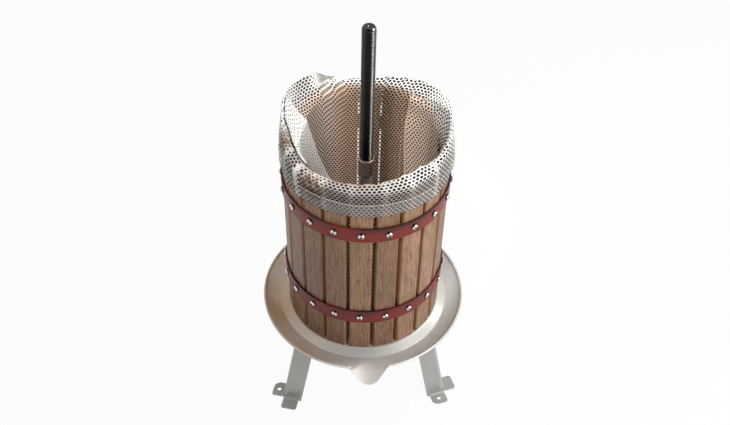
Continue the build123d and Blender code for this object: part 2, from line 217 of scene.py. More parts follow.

# %% [markdown]
# The round screw heads are polished, so what shows on them is mostly the room: bright above and
# dark where they look at the hoop. Their middle and their foot are painted dark besides: the middle is a
# painted reflection of the dark room, the foot painted shade where the head meets the hoop. Each head
# could be painted by itself, but the way the surface faces tells it for all of them: the middle faces
# straight out from the axis, the foot faces away. The collar on the screw is polished steel, a little
# dull and tinted warm brown, a painted reflection of the wood round it. The bolts, washers and nuts
# under the tray are plain zinc, with a spangle that is about 2 mm across.

# %% Polished and zinc-plated steel
# Smears are 6 mm across
SMEARS = 180
# The warm brown tone of the collar is a painted reflection of the wood round it
polished, tree, shader = material("polished steel", Metallic=0.85, Base_Color="#8f7e74")
place = add(tree, "ShaderNodeTexCoord").outputs["Object"]
smear = add(tree, "ShaderNodeTexNoise", {"Vector": place, "Scale": SMEARS, "Detail": 3})
sheen = add(tree, "ShaderNodeMapRange", {"Value": smear, "To Min": 0.05, "To Max": 0.16})
feed(tree, shader, {"Roughness": sheen})
heads, tree, shader = material("polished screw heads", Metallic=1.0)
place = add(tree, "ShaderNodeTexCoord").outputs["Object"]
# The middle is painted dark as a painted reflection; the foot is painted shade where it meets the hoop
out = facing(tree, from_axis(tree, place))
middle = add(tree, "ShaderNodeMapRange", {"Value": out, "From Min": 0.93, "From Max": 0.965})
rim = add(tree, "ShaderNodeMapRange", {"Value": out, "From Min": 0.7, "From Max": 0.55})
dark_reflection_and_shade = add(tree, "ShaderNodeMath", {0: middle, 1: rim}, operation="MAXIMUM")
head = add(tree, "ShaderNodeMix", {"Factor": dark_reflection_and_shade, "A": "#cfccc7", "B": "#1d1a18"}, data_type=COLOUR)
smear = add(tree, "ShaderNodeTexNoise", {"Vector": place, "Scale": SMEARS, "Detail": 3})
sheen = add(tree, "ShaderNodeMapRange", {"Value": smear, "To Min": 0.06, "To Max": 0.18})
feed(tree, shader, {"Base Color": head, "Roughness": sheen})
zinc, tree, shader = material("zinc plate", Metallic=1.0)
place = add(tree, "ShaderNodeTexCoord").outputs["Object"]
spangle = add(tree, "ShaderNodeTexVoronoi", {"Vector": place, "Scale": 420}).outputs
greys = {"Factor": spangle["Color"], "A": "#a9abab", "B": "#c8c9c6"}
plate = add(tree, "ShaderNodeMix", greys, data_type=COLOUR)
sheen = add(tree, "ShaderNodeMapRange", {"Value": spangle["Distance"], "To Min": 0.28, "To Max": 0.45})
feed(tree, shader, {"Base Color": plate, "Roughness": sheen})
coat(("lower_hoop_screws", "upper_hoop_screws"), heads)
coat(("stop_collar",), polished)
coat(("leg_bolts", "leg_washers", "leg_nuts", "hub_washer", "hub_nut"), zinc)
print("fixings polished and plated")

# %% [markdown]
# Tray, legs and hub plate are sprayed with a half-glossy enamel, cream on the tray and pale grey on
# the legs. A low roughness alone would look like plastic, so a clear coat over the colour gives the
# soft reflections of the wood, and a faint ripple keeps them from being a mirror. On the left the
# tray is painted tan in patches: a painted reflection of the wood beside it. At the lip the enamel is
# painted paler: a painted highlight.


# %% Enamel
def enamel(name, low, high):
    """Sprayed enamel between two tones; returns it with its tree, shader, place and colour."""
    made, tree, shader = material(
        name, IOR=1.5, Roughness=0.3, Metallic=0.25, Coat_Weight=0.4, Coat_Roughness=0.12
    )
    place = add(tree, "ShaderNodeTexCoord").outputs["Object"]
    # The tone drifts over 70 mm, and the ripple lies 4 mm apart
    drift = add(tree, "ShaderNodeTexNoise", {"Vector": place, "Scale": 14, "Detail": 3})
    ripple = add(tree, "ShaderNodeTexNoise", {"Vector": place, "Scale": 260, "Detail": 2})
    colour = add(tree, "ShaderNodeMix", {"Factor": drift, "A": low, "B": high}, data_type=COLOUR)
    relief = add(tree, "ShaderNodeBump", {"Height": ripple, "Strength": 0.12, "Distance": 0.0004})
    feed(tree, shader, {"Base Color": colour, "Normal": relief})
    return made, tree, shader, place, colour


grey_enamel = enamel("pale grey enamel", "#9c9c99", "#acacaa")[0]
cream_enamel, tree, shader, place, colour = enamel("cream enamel", "#c4c2bd", "#d1d0cc")
axes = add(tree, "ShaderNodeSeparateXYZ", {"Vector": place}).outputs
# On the left the tray is painted tan: a painted reflection of the wood
leftward = add(tree, "ShaderNodeMapRange", {"Value": axes["X"], "From Min": -0.03, "From Max": -0.13})
# The painted tan lies in patches of some 110 mm
tan_patches = add(tree, "ShaderNodeTexNoise", {"Vector": place, "Scale": 9, "Detail": 4})
uneven = add(tree, "ShaderNodeMapRange", {"Value": tan_patches, "From Min": 0.15, "From Max": 0.6})
wood_reflection = add(tree, "ShaderNodeMath", {0: leftward, 1: uneven}, operation="MULTIPLY")
wood_tinted = add(tree, "ShaderNodeMix", {"Factor": wood_reflection, "A": colour, "B": "#c09a70"}, data_type=COLOUR)
# The lip is painted paler: a painted highlight
at_lip = add(tree, "ShaderNodeMapRange", {"Value": axes["Y"], "From Min": -0.128, "From Max": -0.15})
lip_highlight = add(tree, "ShaderNodeMix", {"Factor": at_lip, "A": wood_tinted, "B": "#f3f1ed"}, data_type=COLOUR)
feed(tree, shader, {"Base Color": lip_highlight})
coat(("tray",), cream_enamel)
coat(("left_leg", "right_leg", "back_leg", "hub_plate"), grey_enamel)
print("stand enamelled")

# %% [markdown]
# The screw is one bar of dark rolled steel, with fine streaks along it that catch the light. Below the
# collar the bag and the fruit have worn it bright, though not to a polish. Two pieces with two finishes
# could show this, but the real bar is one piece, so one finish changes with the height.

# %% Dark steel
WORN_FROM, WORN_FULL = 0.43, 0.41
steel, tree, shader = material("dark rolled steel", Metallic=1.0, Coat_Weight=0.5, Coat_Roughness=0.06)
place = add(tree, "ShaderNodeTexCoord").outputs["Object"]
# Streaks are 2 mm wide and 30 mm long
streak = stretched(tree, "ShaderNodeTexNoise", place, (500, 500, 30), {"Detail": 3})
rolled = add(tree, "ShaderNodeMix", {"Factor": streak, "A": "#1a1816", "B": "#2a2724"}, data_type=COLOUR)
bright = add(tree, "ShaderNodeMix", {"Factor": streak, "A": "#827c75", "B": "#a39d95"}, data_type=COLOUR)
height = add(tree, "ShaderNodeSeparateXYZ", {"Vector": place}).outputs["Z"]
worn = add(tree, "ShaderNodeMapRange", {"Value": height, "From Min": WORN_FROM, "From Max": WORN_FULL})
metal = add(tree, "ShaderNodeMix", {"Factor": worn, "A": rolled, "B": bright}, data_type=COLOUR)
dulled = add(tree, "ShaderNodeMapRange", {"Value": worn, "To Min": 1.0, "To Max": 0.75})
sheen = add(tree, "ShaderNodeMapRange", {"Value": streak, "To Min": 0.14, "To Max": 0.3})
feed(tree, shader, {"Base Color": metal, "Metallic": dulled, "Roughness": sheen})
print("steel is worn bright below", WORN_FROM, "m")

# %% [markdown]
# The real bar is turned on a lathe: a foot that bears on the tray, a plain shank and, above the collar,
# the core of the thread. It could be stacked from cylinders, but a turned piece is given most plainly
# by half of its outline, which is run round the axis.

# %% Turned bar
MM = 0.001
THREAD_ROOT, THREAD_TOP = 8.3, 8.98
bar_outline = [
    (0, 146.5),
    (6.5, 146.5),
    (8, 148),
    (8, 174),
    (22, 174),
    (22, 178),
    (20.6, 180.6),
    (16, 182),
    (12, 182),
    (8, 182.5),
    (8, 438),
    (THREAD_ROOT, 439),
    (THREAD_ROOT, 641.4),
    (7, 643),
    (2, 643),
    (0.6, 641.6),
    (0, 641.2),
]


def new_piece(name, mesh):
    """An object for a mesh, at the origin, linked into the scene."""
    made = bpy.data.objects.new(name, mesh)
    bpy.context.scene.collection.objects.link(made)
    return made


def turned(name, outline, steps):
    """A mesh turned round the Z axis from an outline that starts and ends on it, in millimetres."""
    bm = bmesh.new()
    rings = []
    for radius, height in outline:
        if radius == 0:
            rings.append([bm.verts.new((0, 0, height * MM))])
            continue
        turns = [2 * pi * k / steps for k in range(steps)]
        rings.append([bm.verts.new((radius * cos(t) * MM, radius * sin(t) * MM, height * MM)) for t in turns])
    for below, above in zip(rings, rings[1:]):
        for k in range(steps):
            corners = [below[k % len(below)], below[(k + 1) % len(below)]]
            corners += [above[(k + 1) % len(above)], above[k % len(above)]]
            bm.faces.new(dict.fromkeys(corners))
    mesh = bpy.data.meshes.new(name)
    bm.to_mesh(mesh)
    bm.free()
    mesh.shade_smooth()
    mesh.set_sharp_from_angle(angle=radians(32))
    return mesh


screw = new_piece("turned_screw", turned("turned_screw", bar_outline, steps=48))
screw.data.materials.append(steel)
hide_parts("press_screw")
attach(screw, "stand")
print("turned screw", len(screw.data.polygons), "faces")

# %% [markdown]
# The thread is a shallow ridge that winds round the core. A Screw modifier could make it from one edge,
# but a small section run along a spiral has its turns, radius and length as plain inputs, which
# Geometry Nodes does with a Spiral and Curve to Mesh.

# %% Thread
PITCH = 2.0
THREAD_FROM, THREAD_TO = 440.4, 640.0
RIDGE = 1.15


def node_tree(name, **kinds):
    """A geometry tree with geometry in and out and named inputs; returns it and its inputs."""
    made = bpy.data.node_groups.new(name, "GeometryNodeTree")
    made.interface.new_socket("Geometry", in_out="INPUT", socket_type="NodeSocketGeometry")
    for label, kind in kinds.items():
        made.interface.new_socket(label.replace("_", " "), in_out="INPUT", socket_type=f"NodeSocket{kind}")
    made.interface.new_socket("Geometry", in_out="OUTPUT", socket_type="NodeSocketGeometry")
    return made, add(made, "NodeGroupInput").outputs


thread_tree, given = node_tree(
    "thread on a spiral", Turns="Float", Radius="Float", Length="Float", Steel="Material"
)
spiral = add(
    thread_tree,
    "GeometryNodeCurveSpiral",
    {
        "Resolution": 24,
        "Rotations": given["Turns"],
        "Start Radius": given["Radius"],
        "End Radius": given["Radius"],
        "Height": given["Length"],
    },
)
upright = add(thread_tree, "GeometryNodeSetCurveNormal", {"Curve": spiral}, mode="Z_UP")
section = add(thread_tree, "GeometryNodeCurvePrimitiveCircle", {"Resolution": 10, "Radius": RIDGE * MM})
ribbon = {"Curve": upright, "Profile Curve": section, "Fill Caps": True}
swept = add(thread_tree, "GeometryNodeCurveToMesh", ribbon)
raised = {"Geometry": swept, "Translation": (0, 0, THREAD_FROM * MM)}
lifted = add(thread_tree, "GeometryNodeTransform", raised)
real = add(thread_tree, "GeometryNodeRealizeInstances", {"Geometry": lifted})
coated = add(thread_tree, "GeometryNodeSetMaterial", {"Geometry": real, "Material": given["Steel"]})
add(thread_tree, "NodeGroupOutput", {"Geometry": coated})


def grown(piece, tree, values):
    """Runs a node tree on a piece with its named inputs set, and keeps the result as a plain mesh."""
    modifier = piece.modifiers.new(tree.name, "NODES")
    modifier.node_group = tree
    for item in tree.interface.items_tree:
        if item.in_out == "INPUT" and item.name in values:
            modifier[item.identifier] = values[item.name]
    bpy.context.view_layer.update()
    depsgraph = bpy.context.evaluated_depsgraph_get()
    mesh = bpy.data.meshes.new_from_object(piece.evaluated_get(depsgraph), depsgraph=depsgraph)
    piece.modifiers.clear()
    piece.data = mesh
    mesh.name = piece.name
    return piece


thread = new_piece("screw_thread", bpy.data.meshes.new("screw_thread"))
length = THREAD_TO - THREAD_FROM
grown(
    thread,
    thread_tree,
    {"Turns": length / PITCH, "Radius": (THREAD_TOP - RIDGE) * MM, "Length": length * MM, "Steel": steel},
)
reach = [Vector((v.co.x, v.co.y)).length / MM for v in thread.data.vertices]
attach(thread, "stand")
print("thread from radius %.2f to %.2f mm, %d faces" % (min(reach), max(reach), len(thread.data.polygons)))

# %% [markdown]
# The bag is white knitted cloth with rows of small round holes. A plain sheet with a picture of holes
# would be quick, but it looks flat from the side, so the holes are made below and this finish only
# colours them. Where the cloth clings to the staves the wood shows through and the cloth is tinted
# warm beige, and where it stands free it is white and dense. Where its holes close, most of all where
# it lies double, it is painted grey: painted shade. Two spots on the cuff carry brown stains. Round
# each hole the yarn turns inward, and the sides of the holes are painted near black: painted shade.
# The nets carry all this with them: each point has a cover, which is how little shows through, and an
# opening, and the sides of the holes carry the painted shade.

# %% White cloth
JUICE_STAINS = [((-0.074, -0.088, 0.473), 0.026), ((-0.109, -0.023, 0.486), 0.019)]
STANDS_FROM, STANDS_FULL = 0.476, 0.49
cloth, tree, shader = material("white bag cloth", Roughness=0.85, IOR=1.45)
place = add(tree, "ShaderNodeTexCoord").outputs["Object"]
cover, opening, shade = (
    add(tree, "ShaderNodeAttribute", attribute_name=name).outputs["Fac"]
    for name in ("cover", "opening", "shade")
)
# The yarn is drawn 1.4 mm apart, coarser than the real one, so that it shows; blots are 8 mm
yarn = add(tree, "ShaderNodeTexNoise", {"Vector": place, "Scale": 700, "Detail": 2})
blots = add(tree, "ShaderNodeTexNoise", {"Vector": place, "Scale": 130, "Detail": 3})
height = add(tree, "ShaderNodeSeparateXYZ", {"Vector": place}).outputs["Z"]
level = add(tree, "ShaderNodeVectorMath", {0: place, 1: (1, 1, 0)}, operation="MULTIPLY")
radius = add(tree, "ShaderNodeVectorMath", {0: level}, operation="LENGTH")
stands = add(tree, "ShaderNodeMapRange", {"Value": height, "From Min": STANDS_FROM, "From Max": STANDS_FULL})
outside = add(tree, "ShaderNodeMapRange", {"Value": radius, "From Min": 0.099, "From Max": 0.107})
dense = add(tree, "ShaderNodeMapRange", {"Value": cover, "From Min": 0.45, "From Max": 0.85})
loose = add(tree, "ShaderNodeMath", {0: stands, 1: outside}, operation="MAXIMUM")
free = add(tree, "ShaderNodeMath", {0: loose, 1: dense}, operation="MAXIMUM")
tinted = add(tree, "ShaderNodeMix", {"Factor": yarn, "A": "#dfb594", "B": "#f8d9c0"}, data_type=COLOUR)
white = add(tree, "ShaderNodeMix", {"Factor": yarn, "A": "#d9d6d1", "B": "#f3f1ed"}, data_type=COLOUR)
plain = add(tree, "ShaderNodeMix", {"Factor": free, "A": tinted, "B": white}, data_type=COLOUR)
# Where the holes close the cloth is painted grey: painted shade
single = add(tree, "ShaderNodeMapRange", {"Value": opening, "From Min": 0.1, "From Max": 0.4})
lit = add(tree, "ShaderNodeMix", {"Factor": single, "A": "#86847d", "B": plain}, data_type=COLOUR)
patchy = add(tree, "ShaderNodeMapRange", {"Value": blots, "From Min": 0.25, "From Max": 0.6})
for middle, reach in JUICE_STAINS:
    away = add(tree, "ShaderNodeVectorMath", {0: place, 1: middle}, operation="DISTANCE")
    near = add(tree, "ShaderNodeMapRange", {"Value": away, "From Min": reach, "From Max": 0.4 * reach})
    stain = add(tree, "ShaderNodeMath", {0: near, 1: patchy}, operation="MULTIPLY")
    lit = add(tree, "ShaderNodeMix", {"Factor": stain, "A": lit, "B": "#7f5a39"}, data_type=COLOUR)
# The sides of the holes are painted near black: painted shade
deep = add(tree, "ShaderNodeMix", {"Factor": stands, "A": "#150d08", "B": "#131110"}, data_type=COLOUR)
colour = add(tree, "ShaderNodeMix", {"Factor": shade, "A": lit, "B": deep}, data_type=COLOUR)
solid = add(tree, "ShaderNodeMath", {0: cover, 1: shade}, operation="MAXIMUM")
knit = add(tree, "ShaderNodeBump", {"Height": yarn, "Strength": 0.4, "Distance": 0.0004})
feed(tree, shader, {"Base Color": colour, "Alpha": solid, "Normal": knit})
print("cloth ready, with", len(JUICE_STAINS), "stains")

# %% [markdown]
# A net with holes in staggered rows is a honeycomb. A Boolean could cut the holes, but there are
# thousands, and it would leave a ragged mesh. So the sheet is first a lattice of triangles with one
# point for each hole. Geometry Nodes turns it into its dual, one six-sided cell round each point,
# shrinks a copy of every cell about its middle, pushes it through the cloth, narrows it to a funnel
# and takes out its end. Each point also carries its opening, from 0 where the yarn closes the hole
# to 1.

# %% Net tree
FUNNEL = 0.12
net_tree, given = node_tree("net with staggered holes", Hole_width="Float", Depth="Float", Cloth="Material")
cells = add(net_tree, "GeometryNodeDualMesh", {"Mesh": given["Geometry"], "Keep Boundaries": True})
opening = add(net_tree, "GeometryNodeInputNamedAttribute", {"Name": "opening"}, data_type="FLOAT")
width = add(net_tree, "ShaderNodeMath", {0: given["Hole width"], 1: opening}, operation="MULTIPLY")
rims = add(net_tree, "GeometryNodeExtrudeMesh", {"Mesh": cells, "Offset Scale": 0.0, "Individual": True})
inner = rims.outputs["Top"]
shrunk = add(net_tree, "GeometryNodeScaleElements", {"Geometry": rims, "Selection": inner, "Scale": width})
pits = add(
    net_tree,
    "GeometryNodeExtrudeMesh",
    {"Mesh": shrunk, "Selection": inner, "Offset Scale": given["Depth"], "Individual": True},
)
ends = pits.outputs["Top"]
narrowed = add(net_tree, "GeometryNodeScaleElements", {"Geometry": pits, "Selection": ends, "Scale": FUNNEL})
# The sides of each pit are marked for their painted shade
marked = add(
    net_tree,
    "GeometryNodeStoreNamedAttribute",
    {"Geometry": narrowed, "Name": "shade", "Value": pits.outputs["Side"]},
    data_type="FLOAT",
    domain="FACE",
)
opened = add(net_tree, "GeometryNodeDeleteGeometry", {"Geometry": marked, "Selection": ends}, domain="FACE")
smooth = add(net_tree, "GeometryNodeSetShadeSmooth", {"Geometry": opened})
real = add(net_tree, "GeometryNodeRealizeInstances", {"Geometry": smooth})
finished = add(net_tree, "GeometryNodeSetMaterial", {"Geometry": real, "Material": given["Cloth"]})
add(net_tree, "NodeGroupOutput", {"Geometry": finished})
print("net tree has", len(net_tree.nodes), "nodes")

# %% [markdown]
# Cloth is cut flat and takes its shape when it is hung. The same goes here. A net made straight on the
# crumpled shape would bunch its rows, so each net is made on a plain cylinder, where they are even,
# and then every point is moved to where that share of the cloth lies on the real surface. The surface
# is a grid of points, so the move is a plain look-up.

# %% Pattern and drape
PATTERN = 105.0
HOLE_DEPTH = 0.9


def even(cover):
    """The weave of a net whose openings and cover are the same all over."""
    return lambda across, up: (1.0, cover)


def lattice(name, columns, rows, sweep, length, weave):
    """Staggered rows of points joined by triangles, on a cylinder or a sector of one."""
    bm = bmesh.new()
    layers = [bm.verts.layers.float.new(name) for name in ("opening", "cover")]
    ring = sweep == 360
    lines = []
    for row in range(rows + 1):
        across = [(k + 0.5 * (row % 2)) / columns for k in range(columns + (0 if row % 2 else 1))]
        if ring and not row % 2:
            across.pop()
        if not ring and row % 2:
            across = [0.0, *across, 1.0]
        turns = [radians((share - 0.5) * sweep) for share in across]
        spots = [(PATTERN * sin(t) * MM, -PATTERN * cos(t) * MM, length * row / rows * MM) for t in turns]
        line = [(share, bm.verts.new(spot)) for share, spot in zip(across, spots)]
        for share, corner in line:
            for layer, value in zip(layers, weave(share, row / rows)):
                corner[layer] = value
        if ring:
            line.append((line[0][0] + 1, line[0][1]))
        lines.append(line)
    for low, high in zip(lines, lines[1:]):
        i = j = 0
        while i < len(low) - 1 or j < len(high) - 1:
            if j == len(high) - 1 or (i < len(low) - 1 and low[i + 1][0] <= high[j + 1][0]):
                bm.faces.new((low[i][1], low[i + 1][1], high[j][1]))
                i += 1
            else:
                bm.faces.new((low[i][1], high[j + 1][1], high[j][1]))
                j += 1
    mesh = bpy.data.meshes.new(name)
    bm.to_mesh(mesh)
    bm.free()
    return mesh


def draped(piece, sweep, length, surface):
    """Moves a net from its cylinder to a surface: a grid of points in metres, across by up."""
    grid = np.array(surface)
    normal = np.cross(np.gradient(grid, axis=0), np.gradient(grid, axis=1))
    normal /= np.linalg.norm(normal, axis=2, keepdims=True) + 1e-12
    spots = np.empty(3 * len(piece.data.vertices))
    piece.data.vertices.foreach_get("co", spots)
    x, y, z = spots.reshape(-1, 3).T
    across = np.clip(np.degrees(np.arctan2(x, -y)) / sweep + 0.5, 0, 1) * (grid.shape[0] - 1)
    up = np.clip(z / (length * MM), 0, 1) * (grid.shape[1] - 1)
    depth = np.hypot(x, y) - PATTERN * MM
    i = np.minimum(across.astype(int), grid.shape[0] - 2)
    k = np.minimum(up.astype(int), grid.shape[1] - 2)
    a, b = (across - i)[:, None], (up - k)[:, None]

    def between(table):
        """Values of a grid at each point, from the four corners round it."""
        low = table[i, k] * (1 - b) + table[i, k + 1] * b
        high = table[i + 1, k] * (1 - b) + table[i + 1, k + 1] * b
        return low * (1 - a) + high * a

    moved = between(grid) + between(normal) * depth[:, None]
    piece.data.vertices.foreach_set("co", moved.ravel())
    piece.data.update()
    return piece


def net(name, columns, rows, sweep, length, hole, surface, weave):
    """A finished net: pattern, holes, then draped over its surface."""
    made = new_piece(name, lattice(name, columns, rows, sweep, length, weave))
    grown(made, net_tree, {"Hole width": hole, "Depth": HOLE_DEPTH * MM, "Cloth": cloth})
    draped(made, sweep, length, surface)
    print(name, len(made.data.polygons), "faces")
    return made


print("nets are made on a cylinder of radius", PATTERN, "mm")

# %% [markdown]
# The bag stands in the basket, comes up inside the staves, lies over their ends and hangs down
# outside as a cuff. In front its crest is a sharp edge above the inner side of the staves. At the
# left the crest climbs outward, and at the back the cloth lies flat on the stave ends and stands up
# outside them as a collar. A cloth simulation could drop it there, but would not find these folds.
# So the crest and the outer edge each have a radius and a height, given every 12 degrees, and the
# section is lofted through them.

# %% Bag section
WALL, CUFF = 96.9, 112.0
FLOOR, LOOSE_TOP, STAVE_TOP = 178.6, 472, 478.5
CUFF_FOOT, CUFF_MIDDLE = 441.0, 465
FOLD_DECAY, FOLD_LEAN = 2.718, 0.06
CREST_ROUNDING = 2.2
SHOULDER = (97.4, 480.0)
MOUTH_STEP = 12
WALL_STEPS, CUFF_STEPS = 40, 8
# Radius and height of the crest, then of the outer edge, from the back round by the left
mouth = [
    (103, 481.5, 110, 485),
    (103, 481.5, 110.5, 486),
    (104, 481.5, 112, 498),
    (104, 481.5, 112.5, 511),
    (105, 483, 112.5, 512),
    (107, 495, 112, 516),
    (109, 513, 111, 517),
    (106, 503, 109.5, 504),
    (100.5, 497, 108.5, 495),
    (99.5, 492, 109, 488.5),
    (101.5, 488.5, 111, 484.5),
    (103, 485.5, 112, 482),
    (101, 484, 112, 481.5),
    (100, 483, 112, 481),
    (100, 484, 112, 481),
    (99.5, 485.5, 112, 481.5),
    (98.8, 488, 112, 482.5),
    (98.5, 491, 112, 483.5),
    (99.5, 492, 111.5, 485),
    (102, 491.5, 110.5, 487),
    (105, 492, 109.5, 491),
    (104, 494.5, 108.5, 497),
    (105, 498.5, 108.5, 503),
    (106, 502, 109.5, 506),
    (104.5, 498, 111, 508),
    (103.5, 491, 112, 506.5),
    (104, 484, 112, 503),
    (104, 482, 112, 498),
    (103.5, 481.5, 112, 493),
    (103, 481.5, 111, 488.5),
]
# Sharp folds of the cuff: angle, width in degrees, depth in millimetres
folds = [
    (-53, 4, 5.5),
    (-68, 6, 2.2),
    (-31, 4, 1.4),
    (-13, 3, 0.9),
    (9, 3, 1.0),
    (27, 5, 1.3),
    (47, 4, 3.0),
    (75, 7, 2.0),
]


def soft_step(value, low, high):
    """0 below low, 1 above high and a smooth rise between them."""
    share = min(1, max(0, (value - low) / (high - low)))
    return (3 - 2 * share) * share * share


def mouth_at(angle):
    """Crest radius and height, outer radius and height at an angle, with a little crumple."""
    place = (angle + 180) / MOUTH_STEP
    first = floor(place)
    share = soft_step(place - first, 0, 1)
    low, high = mouth[first % len(mouth)], mouth[(first + 1) % len(mouth)]
    values = [a + (b - a) * share for a, b in zip(low, high)]
    x, y = sin(radians(angle)), cos(radians(angle))
    values[1] += 2.6 * noise.noise((9 * x, 9 * y, 1)) + 2.2 * noise.noise((24 * x, 24 * y, 2))
    values[2] += 1.4 * noise.noise((7 * x, 7 * y, 4))
    values[3] += 2.0 * noise.noise((8 * x, 8 * y, 7)) * soft_step(values[3], 481, 492)
    return values


def slack(angle, height):
    """How far the loose cloth stands in from the staves, in millimetres."""
    turn = radians(angle)
    ripple = 1.1 + 0.7 * sin(7 * turn + height / 55) + 0.4 * sin(15 * turn - height / 70)
    ripple += 0.5 * noise.noise((sin(turn) * 3, cos(turn) * 3, height / 90))
    ripple *= soft_step(height, 180, 260)
    left = soft_step(angle, -150, -112) * (1 - soft_step(angle, -80, -38))
    left *= soft_step(height, 330, 455) * (1 - soft_step(height, 478, 512))
    return max(0, ripple) + 8 * left


def fold_out(angle, height):
    """How far the cuff stands out from the staves at its folds."""
    out = 0.4 + 0.4 * sin(9 * radians(angle) + height / 30)
    for middle, width, depth in folds:
        past = angle + (height - CUFF_MIDDLE) * FOLD_LEAN - middle
        out += depth * FOLD_DECAY ** (-abs(past) / width)
    return out * (0.45 + 0.55 * soft_step(height, CUFF_FOOT, 478))


def rounded(corners, reach):
    """A chain of corners, each inner one replaced by a short curve."""
    points = [corners[0]]
    for before, corner, after in zip(corners, corners[1:], corners[2:]):
        start = corner + (before - corner).normalized() * min(reach, (before - corner).length / 2)
        end = corner + (after - corner).normalized() * min(reach, (after - corner).length / 2)
        for share in (0, 0.25, 0.5, 0.75, 1):
            points.append(start.lerp(corner, share).lerp(corner.lerp(end, share), share))
    return points + [corners[-1]]


def wall_at(angle, height):
    """Radius of the bag's inner side at an angle and a height."""
    crest_radius, crest, _, _ = mouth_at(angle)
    if height <= LOOSE_TOP:
        return WALL - slack(angle, height)
    if height <= SHOULDER[1]:
        loose = WALL - slack(angle, LOOSE_TOP)
        return loose + (SHOULDER[0] - loose) * (height - LOOSE_TOP) / (SHOULDER[1] - LOOSE_TOP)
    return SHOULDER[0] + (crest_radius - SHOULDER[0]) * min(1, (height - SHOULDER[1]) / (crest - SHOULDER[1]))


def section_points(angle):
    """The bag's section at an angle, from the floor seam to the foot of the cuff: radius, height."""
    crest_radius, crest, outer_radius, outer = mouth_at(angle)
    heights = [FLOOR + (LOOSE_TOP - FLOOR) * k / WALL_STEPS for k in range(WALL_STEPS + 1)]
    wall = [Vector((wall_at(angle, height), height)) for height in heights]
    heights = [STAVE_TOP + (CUFF_FOOT - STAVE_TOP) * k / CUFF_STEPS for k in range(CUFF_STEPS + 1)]
    cuff = [Vector((CUFF + fold_out(angle, height), height)) for height in heights]
    edge = Vector((outer_radius + 0.6 * fold_out(angle, outer), outer))
    corners = [wall[-1], Vector(SHOULDER), Vector((crest_radius, max(crest, 481))), edge, cuff[0]]
    return wall[:-1] + rounded(corners, CREST_ROUNDING) + cuff[1:]


def on_ring(angle, radius, height):
    """A point in metres, with the angle counted from the pouring lip to the right."""
    return (radius * sin(radians(angle)) * MM, -radius * cos(radians(angle)) * MM, height * MM)


crests = [mouth_at(angle)[1] for angle in range(-180, 180)]
print("crest between %.0f and %.0f mm" % (min(crests), max(crests)))

# %% [markdown]
# The net is woven in two lengths, a short foot and the rest, so that neither piece grows too heavy.
# The same holes all over would hide the folds. On the real cloth the holes close where it is folded:
# along the lip's inner edge, on the sharp folds of the cuff, and at the back on the left, where a
# flap of it lies double.

# %% Bag net
COLUMNS, ROWS, FOOT_ROWS = 116, 96, 28
POINTS_PER_ROW = 4
# Middle points of the section's three rounded corners, which have five points each
SHOULDER_POINT, CREST_POINT, OUTER_POINT = WALL_STEPS + 3, WALL_STEPS + 8, WALL_STEPS + 13
# Cover of the wall by angle: sheer behind the screw, where the wood shows, and denser at the left
WALL_ANGLES = [-180, -168, -152, -110, -90, 105, 125, 180]
WALL_COVER = [0.28, 0.4, 0.62, 0.62, 0.46, 0.44, 0.3, 0.28]
# Cover of the lip and of the cuff by angle: sheer where it is pulled tight in front, dense at the sides
LIP_ANGLES = [-180, -120, -98, -85, -40, 0, 25, 60, 85, 105, 130, 180]
LIP_COVER = [0.75, 0.8, 0.7, 0.45, 0.36, 0.5, 0.75, 0.8, 0.65, 0.85, 0.9, 0.75]
CUFF_COVER = [0.3, 0.5, 0.85, 0.7, 0.18, 0.2, 0.3, 0.55, 0.8, 0.8, 0.5, 0.3]


def bag_line(angle):
    """Points at even steps of cloth along the section, and the run to its corners and to its end."""
    points = np.array(section_points(angle))
    run = np.concatenate([[0], np.cumsum(np.linalg.norm(np.diff(points, axis=0), axis=1))])
    steps = np.linspace(0, run[-1], POINTS_PER_ROW * ROWS + 1)
    spots = zip(np.interp(steps, run, points[:, 0]), np.interp(steps, run, points[:, 1]))
    ends = (run[SHOULDER_POINT], run[CREST_POINT], run[OUTER_POINT], run[-1])
    return [on_ring(angle, radius, height) for radius, height in spots], ends


def bag_weave(across, up):
    """Opening and cover at a share of the way round and up the upper length of the net."""
    angle = across * 360 - 180
    shoulder, crest, outer, whole = marks[round(across * 360)]
    run = (FOOT_ROWS + (ROWS - FOOT_ROWS) * up) / ROWS * whole
    past = run - crest
    free = np.interp(angle, LIP_ANGLES, LIP_COVER)
    front = soft_step(angle, -62, -50) * (1 - soft_step(angle, 52, 64))
    opening = 1 - 0.65 * front * max(0, 1 - abs(past) / 3.5)
    start = shoulder if crest - shoulder > 9 else crest - 3
    cover = np.interp(angle, WALL_ANGLES, WALL_COVER)
    if past > 0:
        cover = np.interp(angle, LIP_ANGLES, CUFF_COVER)
    cover += (free - cover) * soft_step(run, start, start + 6) * (1 - soft_step(run, outer, outer + 12))
    if past > 0:
        ridge = max(depth * max(0, 1 - abs(angle - middle) / 2.7) for middle, _, depth in folds)
        double = soft_step(angle, -173, -160) * (1 - soft_step(angle, -150, -137)) * soft_step(past, 4, 13)
        soaked = (1 - soft_step(abs(angle + 40), 5, 10)) * (1 - soft_step(past, 18, 28))
        cover += 0.4 * soaked
        opening *= 1 - 0.3 * soaked
        side = soft_step(abs(angle), 62, 80) * (1 - soft_step(abs(angle), 112, 130))
        opening *= (1 - min(0.7, 0.3 * ridge)) * (1 - 0.92 * double) * (1 - 0.4 * side)
        cover = max(cover, min(0.85, 0.3 * ridge), double)
    return max(opening, 0.1), cover


